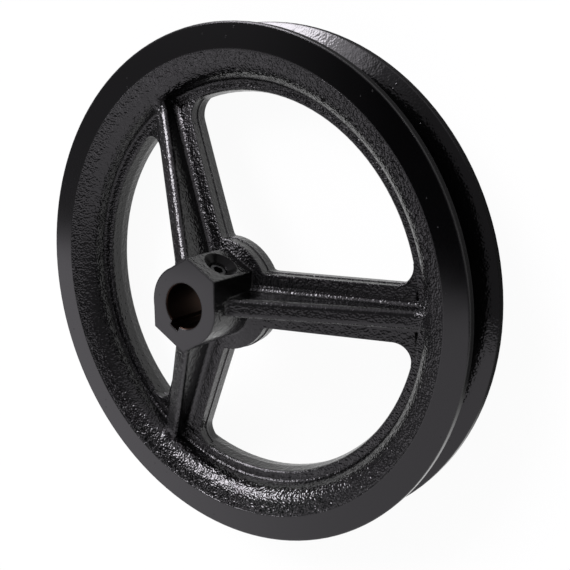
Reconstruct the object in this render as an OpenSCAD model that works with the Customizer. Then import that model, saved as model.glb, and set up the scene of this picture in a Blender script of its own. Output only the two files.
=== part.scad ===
// Cast-iron V-belt pulley: one groove, three dished and ribbed spokes, keyed hub with a set screw.
// It lies on the back of its rim, the bore along Z and the long side of the hub up.
// Sizes are in millimetres.

/* [Rim] */
// Outside diameter over the lands
rim_d = 228.6; // [210:0.2:250]
// Width over the two machined side faces
rim_w = 29.4; // [27:0.1:34]
// Width of the belt groove between the lands
groove_w = 22.2; // [18:0.1:24]
// Angle between the walls of the belt groove
groove_angle = 36; // [30:1:38]
// Depth of the belt groove below the lands
groove_depth = 17; // [13:0.25:18]
// Fillet at the bottom of the belt groove
groove_root_r = 2.5; // [1:0.1:3.5]
// Rounding of the edges of the lands
land_edge_r = 0.5; // [0.2:0.05:1]
// Radial width of the machined band on each side face
band_w = 11.3; // [9:0.1:13]
// Radius of the shoulder inside the front band
shoulder_r = 10; // [5:0.25:11]
// Radius of the shoulder inside the back band
back_shoulder_r = 2.5; // [1:0.1:3]
// Draft of the wall between the shoulder and the foot ring, in degrees
wall_draft = 8; // [4:1:12]

/* [Foot ring] */
// Radial depth of the whole rim, from the lands to the ring's inside at the parting line
rim_depth = 29.1; // [28:0.1:31]
// Radial height of the ring's flat faces
ring_h = 4.7; // [3.5:0.1:5]
// Thickness between its front and back faces
ring_t = 11.1; // [9:0.1:13]
// Depth of its front face below the rim's front face
ring_drop = 11.2; // [9:0.1:12]
// Draft of the inside on both sides of the parting line, in degrees
ring_draft = 9; // [3:1:12]
// Rounding of its inner edges
ring_edge_r = 1.3; // [0.4:0.1:1.5]
// Fillet between its faces and the rim
ring_root_r = 1.3; // [0.6:0.1:1.6]

/* [Spokes] */
// Number of spokes, an odd one so that the set screw opposite the keyway lies between two of them
spoke_n = 3; // [3:2:5]
// Width of a spoke
spoke_w = 23.4; // [19:0.2:26]
// Thickness of a spoke along the bore
spoke_t = 9; // [7:0.1:10]
// Depth of the spokes' front below the hub's face, where they meet the hub
disc_drop = 23.9; // [22:0.1:25.5]
// Fillet where a spoke runs into the foot ring
spoke_rim_r = 7.5; // [5:0.25:10]
// Fillet where a spoke runs into the disc round the hub
spoke_hub_r = 4; // [2:0.25:6]
// Diameter of the disc round the hub
disc_d = 49; // [46:0.5:54]
// Height of the parting line's flash on the spokes' sides
flash_h = 0.35; // [0.1:0.05:0.5]
// Width of that flash
flash_w = 0.8; // [0.4:0.1:1.2]

/* [Ribs] */
// Thickness of a rib at its front edge
rib_t = 7.8; // [6:0.1:9]
// Depth of a rib's front edge below the hub's face, where it meets the hub
rib_drop = 7.6; // [6:0.2:9]
// Draft of a rib's sides, in degrees
rib_draft = 2; // [1:0.5:3]
// Rounding along a rib's front edge
rib_edge_r = 2.2; // [0.8:0.1:2.6]
// Fillet between a rib and its spoke
rib_root_r = 2.5; // [1:0.1:3]
// Depth of a rib's front edge below the rim's front face, where it meets the rim
rib_toe_drop = 6.05; // [5:0.05:7]
// Fillet between a rib's front edge and the hub
rib_heel_r = 4; // [2:0.25:5]
// Bend of a rib's front edge where it turns up the rim's shoulder
rib_toe_r = 7; // [4:0.5:7]
// Rise of a rib's toe on that shoulder, in degrees
rib_toe_angle = 32; // [26:1:36]

/* [Hub] */
// Diameter of the hub
hub_d = 33.8; // [32:0.2:36]
// Length of the hub
hub_len = 38.1; // [36:0.1:42]
// Reach of the hub's face in front of the rim's front face
hub_reach = 30.5; // [28:0.1:32]
// Distance from the bore's axis to the flat with the set screw
screw_pad = 19.3; // [18.6:0.1:20]
// Distance from the bore's axis to the flat over the keyway
key_pad = 18; // [17.6:0.1:19]
// Fillet between the hub and its disc
hub_root_r = 3; // [1.5:0.1:3.5]
// Diameter of the bore
bore_d = 19.05; // [15.875:0.005:20]
// Chamfer at both ends of the bore
bore_chamfer = 0.5; // [0.2:0.05:1]
// Width of the keyway
key_w = 4.76; // [4:0.01:5]
// Depth of the keyway below the wall of the bore
key_depth = 2.2; // [1.6:0.05:2.6]

/* [Set screw] */
// Diameter over the thread
screw_d = 7.94; // [6.35:0.01:8]
// Length of the screw
screw_len = 6.35; // [5.5:0.05:8]
// Distance from the hub's face back to the screw's axis
screw_setback = 12.9; // [11:0.1:14]
// Gap between the thread and its hole, on the radius
screw_gap = 0.05; // [0.02:0.01:0.1]
// Gap from the screw's point to the bore, as the screw stands
screw_lift = 0.5; // [0.3:0.1:2]
// Size across the flats of the socket
socket_w = 3.97; // [3:0.01:4]
// Depth of the socket
socket_depth = 3; // [2:0.1:3.5]
// Diameter of the cup at the screw's point
cup_d = 4.4; // [3:0.1:4.8]
// Depth of the cup
cup_depth = 1; // [0.5:0.1:1.2]
// Chamfer at the ends of the thread
thread_chamfer = 0.7; // [0.3:0.1:0.9]
// Diameter of the dished mouth in the flat
mouth_d = 14.2; // [12:0.1:15]
// Depth of the dished mouth
mouth_depth = 2.4; // [1.5:0.1:3]

/* [Hidden] */
$fn = 96;
// Longest step between two points of a rounded outline, and its fewest steps
arc_chord = 1.2;
arc_steps = 3;
// How far a fillet's ends are sunk into the faces that it joins
sink = 0.05;
// How far a piece of the casting runs into its neighbour
overlap = 2;
// How far a cut runs past the face that it opens
overrun = 1;
// How far the sides of the hub's flats lie inside its round
pad_inset = 0.15;

rim_r = rim_d / 2;
band_r = rim_r - band_w;
groove_r = rim_r - groove_depth;
groove_root_w = groove_w - 2 * groove_depth * tan(groove_angle / 2);
// The recess runs parallel to the wall of the belt groove
recess_angle = groove_angle / 2;

ring_r = rim_r - rim_depth;
ring_front = rim_w - ring_drop;
ring_back = ring_front - ring_t;
ring_mid = ring_back + ring_t / 2;
ring_face_r = ring_r + ring_t / 2 * tan(ring_draft);
ring_root = ring_face_r + ring_h;

disc_r = disc_d / 2;
hub_r = hub_d / 2;
hub_face = rim_w + hub_reach;
hub_back = hub_face - hub_len;
bore_r = bore_d / 2;
key_floor = bore_r + key_depth;

// Dish of the spokes from the foot ring up to the hub, and slope of the ribs' front edge
dish_angle = atan((hub_face - disc_drop - ring_front) / (ring_face_r - hub_r));
rib_angle = atan((hub_face - rib_drop - rim_w + rib_toe_drop) / (ring_root - hub_r));

spoke_step = 360 / spoke_n;
// The keyway lies along a spoke, and the set screw opposite
key_turn = spoke_step * floor(spoke_n * 2 / 3);
screw_turn = key_turn - 180;
pad_side = hub_r - pad_inset;
pad_flare = 60;

screw_z = hub_face - screw_setback;
screw_r = screw_d / 2;
screw_hole_r = screw_r + screw_gap;
screw_tip = bore_r + screw_lift;

// Height of the spokes' front at a distance r from the axis
function spoke_front(r) = ring_front - (r - ring_face_r) * tan(dish_angle);
// Height of the ribs' front edge at a distance r from the axis
function rib_front(r) = hub_face - rib_drop - (r - hub_r) * tan(rib_angle);

function flat_of(p) = [p[0], p[1]];
function unit(v) = v / norm(v);
function polar(r, a) = r * [cos(a), sin(a)];

// Points of an arc, both ends included
function arc(centre, r, from, to) =
    let (n = max(arc_steps, ceil(r * abs(to - from) * PI / 180 / arc_chord)))
    [for (i = [0:n]) centre + polar(r, from + (to - from) * i / n)];

// The corner at b between its neighbours a and c, rounded to the radius b[2]
function corner(a, b, c) =
    b[2] == 0 ? [flat_of(b)] :
    let (
        at = flat_of(b),
        back = unit(flat_of(a) - at),
        ahead = unit(flat_of(c) - at),
        half = acos(back * ahead) / 2,
        centre = at + unit(back + ahead) * b[2] / sin(half),
        start = at + back * b[2] / tan(half) - centre,
        from = atan2(start[1], start[0]),
        turn = sign(ahead[0] * back[1] - ahead[1] * back[0]) * (180 - 2 * half)
    )
    arc(centre, b[2], from, from + turn);

// A closed outline whose corners [x, y, radius] are rounded
function rounded(path) =
    let (n = len(path))
    [for (i = [0:n - 1]) each corner(path[(i + n - 1) % n], path[i], path[(i + 1) % n])];

// Where the sloping recess meets the drafted wall above the foot ring, a depth d below the band
function shoulder(d) =
    let (
        s = tan(recess_angle),
        w = tan(wall_draft),
        r = (ring_root + (d - band_r * s) * w) / (1 - s * w)
    )
    [r, (band_r - r) * s];

// Half section of the rim and its foot ring: distance from the axis, height, rounding
function rim_section() =
    let (
        front = shoulder(ring_drop),
        back = shoulder(ring_back),
        middle = rim_w / 2
    )
    rounded([
        [rim_r, rim_w, land_edge_r],
        [band_r, rim_w, 0],
        [front[0], rim_w - front[1], shoulder_r],
        [ring_root, ring_front, ring_root_r],
        [ring_face_r, ring_front, ring_edge_r],
        [ring_r, ring_mid, 0],
        [ring_face_r, ring_back, ring_edge_r],
        [ring_root, ring_back, ring_root_r],
        [back[0], back[1], back_shoulder_r],
        [band_r, 0, 0],
        [rim_r, 0, land_edge_r],
        [rim_r, middle - groove_w / 2, land_edge_r],
        [groove_r, middle - groove_root_w / 2, groove_root_r],
        [groove_r, middle + groove_root_w / 2, groove_root_r],
        [rim_r, middle + groove_w / 2, land_edge_r]
    ]);

// One side of a spoke seen along the bore, from the disc to the foot ring, drawn wider by grow
function spoke_side(grow) =
    let (
        edge = spoke_w / 2 + grow,
        hub_fillet = spoke_hub_r - grow,
        rim_fillet = spoke_rim_r - grow,
        inner = disc_r - overlap / 4 + grow + hub_fillet,
        outer = ring_r + overlap / 2 - grow - rim_fillet,
        hub_turn = asin((edge + hub_fillet) / inner),
        rim_turn = asin((edge + rim_fillet) / outer)
    )
    [
        each arc(polar(inner, hub_turn), hub_fillet, 180 + hub_turn, 270),
        each arc(polar(outer, rim_turn), rim_fillet, -90, rim_turn),
        polar(ring_face_r + overlap, rim_turn)
    ];

module spoke_outline(grow) {
    side = spoke_side(grow);
    last = len(side) - 1;
    other = [for (i = [0:last]) [side[last - i][0], -side[last - i][1]]];
    polygon([[0, 0], each side, each other]);
}

// Disc and spokes seen along the bore
module spider_outline(grow = 0) {
    circle(disc_r + grow);
    for (i = [0:spoke_n - 1])
        rotate(i * spoke_step) spoke_outline(grow);
}

// Dished layer between the hub and the foot ring, from low to high below the spokes' front
module dish(low, high) {
    inner = hub_r - 2 * overlap;
    outer = ring_face_r + overlap;
    rotate_extrude()
        polygon([
            [inner, spoke_front(inner) - low],
            [outer, spoke_front(outer) - low],
            [outer, spoke_front(outer) - high],
            [inner, spoke_front(inner) - high]
        ]);
}

module spider() {
    height = hub_face;
    middle = spoke_t / 2;
    intersection() {
        dish(spoke_t, 0);
        linear_extrude(height) spider_outline();
    }
    intersection() {
        dish(middle + flash_w / 2, middle - flash_w / 2);
        linear_extrude(height) spider_outline(flash_h);
    }
}

// Extrudes a section along the first spoke, from r on, sloping down by angle
module along_spoke(r, z, angle, length) {
    translate([r, 0, z])
        rotate([0, angle, 0])
            rotate([90, 0, 90])
                linear_extrude(length) children();
}

// Extrudes a side view of the first spoke to a thickness
module across_spoke(thickness) {
    rotate([90, 0, 0])
        linear_extrude(thickness, center = true) children();
}

// Section of a rib from its front edge down
function rib_section(depth) =
    let (
        top = rib_t / 2,
        base = top + depth * tan(rib_draft)
    )
    rounded([
        [top, 0, rib_edge_r],
        [-top, 0, rib_edge_r],
        [-base, -depth, 0],
        [base, -depth, 0]
    ]);

module rib_bar() {
    inner = hub_r - overlap;
    outer = ring_root + overlap;
    depth = rib_front(inner) - spoke_front(inner) + spoke_t;
    middle = spoke_t / 2;
    intersection() {
        along_spoke(inner, rib_front(inner), rib_angle, (outer - inner) / cos(rib_angle))
            polygon(rib_section(depth));
        across_spoke(spoke_w)
            polygon([
                [inner, spoke_front(inner) - middle],
                [outer, spoke_front(outer) - middle],
                [outer, hub_face],
                [inner, hub_face]
            ]);
    }
}

// Flared foot that blends a rib into its spoke
module rib_root() {
    inner = hub_r - overlap;
    outer = ring_face_r + overlap;
    half = rib_t / 2;
    wide = half + rib_root_r;
    along_spoke(inner, spoke_front(inner) - sink, dish_angle, (outer - inner) / cos(dish_angle))
        polygon([
            each arc([wide, rib_root_r], rib_root_r, 180, 270),
            [wide, -overlap],
            [-wide, -overlap],
            each arc([-wide, rib_root_r], rib_root_r, 270, 360)
        ]);
}

// Fillet between a rib's front edge and the hub's side, which lies at seat from the axis
module rib_heel(seat) {
    foot = [seat - sink, rib_front(seat) - sink];
    along = [cos(rib_angle), -sin(rib_angle)];
    reach = 3 * rib_heel_r;
    fillet = corner(
        [foot[0], foot[1] + reach],
        [foot[0], foot[1], rib_heel_r],
        foot + reach * along
    );
    across_spoke(rib_t - rib_edge_r)
        polygon([each fillet, foot - [overlap, overlap]]);
}

// Centre of the front shoulder's round
function shoulder_centre() =
    let (
        bend = shoulder(ring_drop),
        half = (90 + recess_angle + wall_draft) / 2
    )
    [bend[0], rim_w - bend[1]] + polar(shoulder_r / sin(half), recess_angle - half);

// End of a rib, bent up so that its front edge runs out on the rim's shoulder
module rib_toe() {
    turn = rib_angle + rib_toe_angle;
    end = shoulder_centre() + polar(shoulder_r - sink, 90 + rib_toe_angle);
    rise = tan(rib_toe_angle);
    fall = tan(rib_angle);
    meet = (rib_front(0) - end[1] + end[0] * rise) / (rise + fall);
    centre = [meet, rib_front(meet)]
        + polar(rib_toe_r / cos(turn / 2), 90 + (rib_toe_angle - rib_angle) / 2);
    start = centre + polar(rib_toe_r, 270 + rib_toe_angle);
    depth = 2 * overlap;
    translate([centre[0], 0, centre[1]])
        rotate([90, 0, 0])
            rotate(270 - rib_angle)
                rotate_extrude(angle = turn)
                    polygon([for (p = rib_section(depth)) [rib_toe_r - p[1], p[0]]]);
    along_spoke(start[0], start[1], -rib_toe_angle, norm(end - start))
        polygon(rib_section(depth));
}

module ribs() {
    for (i = [0:spoke_n - 1]) {
        turn = i * spoke_step;
        rotate(turn) {
            rib_bar();
            rib_root();
            rib_heel(turn == key_turn ? key_pad : hub_r);
            rib_toe();
        }
    }
}

// Flat on the hub, at reach from the axis, between two sides that run into the hub's round
module hub_pad(reach) {
    half = (pad_side - reach * cos(pad_flare)) / sin(pad_flare);
    side = polar(pad_side, pad_flare);
    translate([0, 0, hub_back])
        linear_extrude(hub_len)
            polygon([[0, 0], [side[0], -side[1]], [reach, -half], [reach, half], side]);
}

// Fillet round the hub where it stands on its disc
module hub_root() {
    foot = [hub_r - sink, spoke_front(hub_r) - sink];
    along = [cos(dish_angle), -sin(dish_angle)];
    reach = 3 * hub_root_r;
    fillet = corner(
        foot + reach * along,
        [foot[0], foot[1], hub_root_r],
        [foot[0], foot[1] + reach]
    );
    rotate_extrude()
        polygon([each fillet, foot - [overlap, overlap]]);
}

module hub() {
    translate([0, 0, hub_back]) cylinder(hub_len, r = hub_r);
    rotate(screw_turn) hub_pad(screw_pad);
    rotate(key_turn) hub_pad(key_pad);
    hub_root();
}

// Turns a shape that stands on Z so that it points out along the set screw's axis
module on_screw_axis() {
    rotate(screw_turn)
        translate([0, 0, screw_z])
            rotate([0, 90, 0]) children();
}

module bore() {
    mouth_r = bore_r + bore_chamfer;
    translate([0, 0, hub_back - overrun]) cylinder(hub_len + 2 * overrun, r = bore_r);
    translate([0, 0, hub_face - bore_chamfer]) cylinder(2 * bore_chamfer, bore_r, mouth_r + bore_chamfer);
    translate([0, 0, hub_back - bore_chamfer]) cylinder(2 * bore_chamfer, mouth_r + bore_chamfer, bore_r);
    rotate(key_turn)
        translate([0, -key_w / 2, hub_back - overrun])
            cube([key_floor, key_w, hub_len + 2 * overrun]);
}

module screw_hole() {
    run = screw_pad + overrun;
    slope = (mouth_d / 2 - screw_hole_r) / mouth_depth;
    on_screw_axis() {
        cylinder(run, r = screw_hole_r);
        translate([0, 0, screw_pad - mouth_depth])
            cylinder(mouth_depth + overrun, screw_hole_r, mouth_d / 2 + slope * overrun);
    }
}

module pulley_casting() {
    color([0.05, 0.05, 0.055])
        difference() {
            union() {
                rotate_extrude() polygon(rim_section());
                spider();
                ribs();
                hub();
            }
            bore();
            screw_hole();
        }
}

module set_screw() {
    neck = screw_r - thread_chamfer;
    color([0.12, 0.12, 0.13])
        on_screw_axis()
            translate([0, 0, screw_tip])
                difference() {
                    rotate_extrude()
                        polygon([
                            [0, 0],
                            [neck, 0],
                            [screw_r, thread_chamfer],
                            [screw_r, screw_len - thread_chamfer],
                            [neck, screw_len],
                            [0, screw_len]
                        ]);
                    translate([0, 0, screw_len - socket_depth])
                        cylinder(socket_depth + overrun, d = socket_w / cos(30), $fn = 6);
                    translate([0, 0, -cup_depth])
                        cylinder(2 * cup_depth, cup_d, 0);
                }
}

pulley_casting();
set_screw();
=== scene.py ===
import bpy
from mathutils import Euler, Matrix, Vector

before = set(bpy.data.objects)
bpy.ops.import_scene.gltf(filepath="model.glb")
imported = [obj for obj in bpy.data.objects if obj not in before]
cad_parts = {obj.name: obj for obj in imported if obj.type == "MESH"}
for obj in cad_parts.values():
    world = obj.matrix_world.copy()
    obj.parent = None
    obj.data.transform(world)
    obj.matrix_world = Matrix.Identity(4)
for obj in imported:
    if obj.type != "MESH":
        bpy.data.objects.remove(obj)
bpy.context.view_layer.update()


# Pulley casting: one grey-iron sand casting, turned on the rim's faces, lands and groove, faced and bored
# at the hub, and dipped in gloss black paint. The paint lies smooth on turned faces and follows the sand's
# grain elsewhere. The bore and the mouth of the screw's hole are bare iron.
RIM_R = 0.1143
RIM_W = 0.0294
BAND_R = 0.1030
BAND_EDGE = 0.00006
LAND_SKIN = 0.0003
GROOVE_R = 0.0973
GROOVE_HALF = 0.00558
GROOVE_SLOPE = 0.325
GROOVE_SKIN = 0.0006
RECESS_R = 0.0855
HUB_FACE = 0.0599
HUB_BACK = 0.0218
HUB_BACK_R = 0.022
BORE_R = 0.009525
KEYWAY_REACH = 0.0026
SCREW_HEIGHT = 0.0470
SCREW_WAY = Vector((0.5, 0.8660254, 0))
SCREW_FLAT = 0.0165
MOUTH_R = 0.0071
SKIN = 0.0001
SHARP = 0.00005
CRISP = 0.0001
SOFT = 0.0002
SOFTER = 0.0005


class Value:
    """A socket in a node tree. Arithmetic on it adds Math nodes, and node() adds any other node."""

    def __init__(self, tree, link=None):
        self.tree = tree
        self.link = link

    def node(self, kind, settings, sockets, output=0):
        """Adds a node, gives it its settings and its sockets' values or links, and returns one output."""
        made = self.tree.nodes.new(kind)
        for name, setting in settings.items():
            setattr(made, name, setting)
        for name, value in sockets.items():
            if isinstance(value, Value):
                self.tree.links.new(value.link, made.inputs[name])
            else:
                made.inputs[name].default_value = value
        return Value(self.tree, made.outputs[output])

    def maths(self, operation, *values):
        return self.node("ShaderNodeMath", {"operation": operation}, dict(enumerate(values)))

    def __add__(self, other):
        return self.maths("ADD", self, other)

    def __sub__(self, other):
        return self.maths("SUBTRACT", self, other)

    def __rsub__(self, other):
        return self.maths("SUBTRACT", other, self)

    def __mul__(self, other):
        return self.maths("MULTIPLY", self, other)

    def __pow__(self, other):
        return self.maths("POWER", self, other)

    def __abs__(self):
        return self.maths("ABSOLUTE", self)

    __radd__ = __add__
    __rmul__ = __mul__

    def most(self, other):
        """The larger of two values."""
        return self.maths("MAXIMUM", self, other)

    def above(self, edge, soft):
        """Goes smoothly from 0 to 1 as the value passes the edge, over twice the softness."""
        limits = {"Value": self, "From Min": edge - soft, "From Max": edge + soft}
        return self.node("ShaderNodeMapRange", {"interpolation_type": "SMOOTHSTEP"}, limits)

    def below(self, edge, soft):
        """Goes smoothly from 1 to 0 as the value passes the edge."""
        return 1 - self.above(edge, soft)

    def part(self, axis):
        """The X, Y or Z of a place or a direction."""
        return self.node("ShaderNodeSeparateXYZ", {}, {0: self}, axis)

    def noise(self, scale, detail, rough=0.5):
        """Random lumps at a place, from 0 to 1, about as many to a metre as the scale says."""
        sockets = {"Vector": self, "Scale": scale, "Detail": detail, "Roughness": rough}
        return self.node("ShaderNodeTexNoise", {}, sockets)

    def mix(self, first, second):
        """The first colour where the value is 0, and the second where it is 1."""
        sockets = {"Factor": self, 6: first, 7: second}
        return self.node("ShaderNodeMix", {"data_type": "RGBA"}, sockets, 2)


def new_paint(name):
    """A new material, its node tree and the tree's shader."""
    paint = bpy.data.materials.new(name)
    paint.use_nodes = True
    return paint, Value(paint.node_tree), paint.node_tree.nodes["Principled BSDF"]


def feed(shader, name, value):
    """Links a value to one of the shader's sockets."""
    value.tree.links.new(value.link, shader.inputs[name])


def dress(name, paint):
    """Gives a CAD node its material."""
    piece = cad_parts[name]
    piece.data.materials.clear()
    piece.data.materials.append(paint)


iron, tree, shader = new_paint("painted_iron")
place = tree.node("ShaderNodeTexCoord", {}, {}, "Object")
x, y, z = (place.part(axis) for axis in "XYZ")
r = (x * x + y * y) ** 0.5

# Turned faces: bands, lands, groove, hub faces, bore and the mouth of the screw's hole
rim_faces = z.above(RIM_W - SKIN, SHARP).most(z.below(SKIN, SHARP))
bands = r.above(BAND_R, BAND_EDGE) * rim_faces
lands = r.above(RIM_R - LAND_SKIN, CRISP)
wall = (r - GROOVE_R) * GROOVE_SLOPE + GROOVE_HALF - abs(z - RIM_W / 2)
groove = r.above(GROOVE_R - 2 * SOFT, SOFT) * wall.above(-GROOVE_SKIN, GROOVE_SKIN / 2)
hub_front = z.above(HUB_FACE - SKIN, SHARP)
hub_back = z.below(HUB_BACK + SKIN, SHARP) * r.below(HUB_BACK_R, SOFTER)
inside = z.above(HUB_BACK - 2 * SOFTER, SOFTER) * (1 - hub_front)
bore = r.below(BORE_R + KEYWAY_REACH, SOFT) * inside
across = x * -SCREW_WAY.y + y * SCREW_WAY.x
outwards = x * SCREW_WAY.x + y * SCREW_WAY.y
rise = z - SCREW_HEIGHT
from_screw = (across * across + rise * rise) ** 0.5
mouth = from_screw.below(MOUTH_R + SKIN, SOFT) * outwards.above(SCREW_FLAT, SOFT)
bare = bore.most(mouth)
smooth = bands.most(lands).most(groove).most(hub_front).most(hub_back).most(bare)
cast = 1 - smooth

# Relief: the sand's grain, weaker on the spokes and the hub, the waves and specks of dipped paint on turned
# faces, and a broken seam where the front band meets the recess, on the lower half
SPOKE_SAND = 0.6
GROOVE_SAND = 0.12
GRAIN_HEIGHT = 0.00028
LUMP_HEIGHT = 0.00026
WAVE_HEIGHT = 0.00002
SPECK_HEIGHT = 0.00004
SPECK_SIZE = 0.09
SEAM_IN = BAND_R - 0.0009
SEAM_OUT = BAND_R - 0.0001
SEAM_LOW = RIM_W - 0.001
SEAM_TOP = -0.03
SEAM_DEPTH = 0.00005
BREAK_DEPTH = 0.0002
EDGE_R = 0.0009
grain = place.noise(1200.0, 0.0)
lumps = place.noise(500.0, 0.0)
strength = r.above(RECESS_R, 0.002) * (1 - SPOKE_SAND) + SPOKE_SAND
sand = (cast * strength + groove * GROOVE_SAND) * (lumps * LUMP_HEIGHT + grain * GRAIN_HEIGHT)
waves = place.noise(70.0, 1.0, 0.4)
cells = {"Vector": place, "Scale": 240.0}
chosen = tree.node("ShaderNodeTexVoronoi", {}, cells, "Color").part("X").above(0.7, 0.3)
speck_gap = tree.node("ShaderNodeTexVoronoi", {}, cells) - chosen * SPECK_SIZE
film = waves * WAVE_HEIGHT + speck_gap.below(0.0, 0.02) * SPECK_HEIGHT
breaks = place.noise(90.0, 2.0).above(0.5, 0.05)
seam = r.above(SEAM_IN, SOFT) * r.below(SEAM_OUT, SOFT) * z.above(SEAM_LOW, SOFT)
seam = seam * y.below(SEAM_TOP, 0.03)
height = sand + smooth * film - seam * (breaks * BREAK_DEPTH + SEAM_DEPTH)
edges = tree.node("ShaderNodeBevel", {"samples": 4}, {"Radius": EDGE_R})
relief = {"Strength": 1.0, "Distance": 1.0, "Height": height, "Normal": edges}
feed(shader, "Normal", tree.node("ShaderNodeBump", {}, relief))

# Finish: gloss paint with duller patches, brown iron in the bore and dark grey iron in the screw's mouth
PAINT_BLACK = (0.0008, 0.0008, 0.0009, 1)
BORE_BROWN = (0.03, 0.018, 0.013, 1)
MOUTH_GREY = (0.012, 0.012, 0.012, 1)
BARE_DULLNESS = 0.2
patches = place.noise(35.0, 3.0, 0.6)
cast_dullness = patches * 0.12 + 0.1
turned_dullness = patches * 0.06 + 0.07
feed(shader, "Roughness", cast * cast_dullness + smooth * turned_dullness + bare * BARE_DULLNESS)
feed(shader, "Metallic", bare)
feed(shader, "Base Color", mouth.mix(bore.mix(PAINT_BLACK, BORE_BROWN), MOUTH_GREY))
shader.inputs["IOR"].default_value = 1.5
dress("pulley_casting", iron)


# Set screw: a headless socket screw of black-oxide steel, turned and threaded, that locks the hub on its
# shaft. It stands just clear of the bore.
STEEL_GREY = (0.05, 0.05, 0.052, 1)
steel, tree, shader = new_paint("black_steel")
stains = tree.node("ShaderNodeTexCoord", {}, {}, "Object").noise(400.0, 3.0, 0.6)
feed(shader, "Roughness", stains * 0.3 + 0.2)
shader.inputs["Base Color"].default_value = STEEL_GREY
shader.inputs["Metallic"].default_value = 1.0
dress("set_screw", steel)


# Floor: a plain pale sheet under the pulley. The camera and reflections see it white, darker in the shadow.
# Reflections also see a dark ring that is drawn on it round the upper part of the rim, as shade.
REACH = 6.0
RING_IN = 0.09
RING_OUT = 0.15
RING_END = -0.05
RING_SHADE = 0.95
WHITE_SHARE = 0.95
WHITE = (1, 1, 1, 1)
BLACK = (0, 0, 0, 1)
floor_mesh = bpy.data.meshes.new("floor")
corners = [(-REACH, -REACH, 0), (REACH, -REACH, 0), (REACH, REACH, 0), (-REACH, REACH, 0)]
floor_mesh.from_pydata(corners, [], [(0, 1, 2, 3)])
floor = bpy.data.objects.new("floor", floor_mesh)
bpy.context.scene.collection.objects.link(floor)
pale, tree, shader = new_paint("pale_floor")
shader.inputs["Base Color"].default_value = (0.9, 0.9, 0.9, 1)
shader.inputs["Roughness"].default_value = 0.9
seen = tree.node("ShaderNodeLightPath", {}, {}, "Is Camera Ray")
mirrored = tree.node("ShaderNodeLightPath", {}, {}, "Is Glossy Ray")
spot = tree.node("ShaderNodeTexCoord", {}, {}, "Object")
x, y = (spot.part(axis) for axis in "XY")
away = (x * x + y * y) ** 0.5
ring = away.above(RING_IN, 0.006) * away.below(RING_OUT, 0.025) * y.above(RING_END, 0.02)
shade = ring * mirrored * RING_SHADE
white = tree.node("ShaderNodeEmission", {}, {"Color": shade.mix(WHITE, BLACK)})
matt = Value(tree.tree, shader.outputs[0])
mixed = tree.node("ShaderNodeMixShader", {}, {0: seen.most(mirrored) * WHITE_SHARE, 1: matt, 2: white})
feed(tree.tree.nodes["Material Output"], "Surface", mixed)
floor_mesh.materials.append(pale)


# Studio, as the gloss paint mirrors it: a white table towards -Y, which is down in the photograph, a soft
# light towards +Y, a key lamp and a front lamp at the upper left, and a dark room between them.
KEY_WAY = Vector((-0.55, 0.62, 0.56)).normalized()
FRONT_WAY = Vector((-0.5, 0.49, 0.715)).normalized()
KEY_LIGHT = 18.0
KEY_HALO = 0.4
FRONT_LIGHT = 2.4
TOP_LIGHT = 0.8
TABLE_LIGHT = 0.95
LEFT_LOSS = 0.8
LEFT_GAIN = 1.25
ROOM_LIGHT = 0.2
ROOM_DARK = 0.003
LIGHT_TINT = (1.01, 0.97, 1.04, 1)
world = bpy.data.worlds.new("studio")
world.use_nodes = True
bpy.context.scene.world = world
way = Value(world.node_tree).node("ShaderNodeTexCoord", {}, {}, "Generated")
dx, dy, dz = (way.part(axis) for axis in "XYZ")
far_left = dx.below(-0.58, 0.12) * (dz.above(0.44, 0.1) * LEFT_GAIN - LEFT_LOSS)
table = (dy + dz * 0.288 + dx.most(0.0) * 0.3).below(0.0, 0.02) * (far_left + TABLE_LIGHT)
near_key = dx * KEY_WAY.x + dy * KEY_WAY.y + dz * KEY_WAY.z
near_front = dx * FRONT_WAY.x + dy * FRONT_WAY.y + dz * FRONT_WAY.z
lamps = near_key.above(0.97, 0.012) * KEY_LIGHT + near_key.above(0.85, 0.08) * KEY_HALO
lamps = lamps + near_front.above(0.965, 0.02) * FRONT_LIGHT
top_light = dy.above(0.6, 0.1) * TOP_LIGHT
room = dz.below(0.82, 0.05).most(dx.above(-0.2, 0.1)) * ROOM_LIGHT + ROOM_DARK
background = world.node_tree.nodes["Background"]
feed(background, "Strength", table.most(top_light).most(room) + lamps)
background.inputs["Color"].default_value = LIGHT_TINT


# Camera: where the photograph was taken from, as seen from the pulley lying on its back. Its place, turn
# and lens come from a fit to the rim's circles.
camera_data = bpy.data.cameras.new("camera")
camera_data.sensor_width = 36.0
camera_data.lens = 60.927
camera_data.clip_start = 0.01
camera = bpy.data.objects.new("camera", camera_data)
camera.location = (0.263068, 0.102810, 0.343034)
camera.rotation_euler = Euler((-0.244256, 0.638611, -0.007362))
bpy.context.scene.collection.objects.link(camera)
bpy.context.scene.camera = camera

bpy.context.scene.view_settings.view_transform = "Standard"
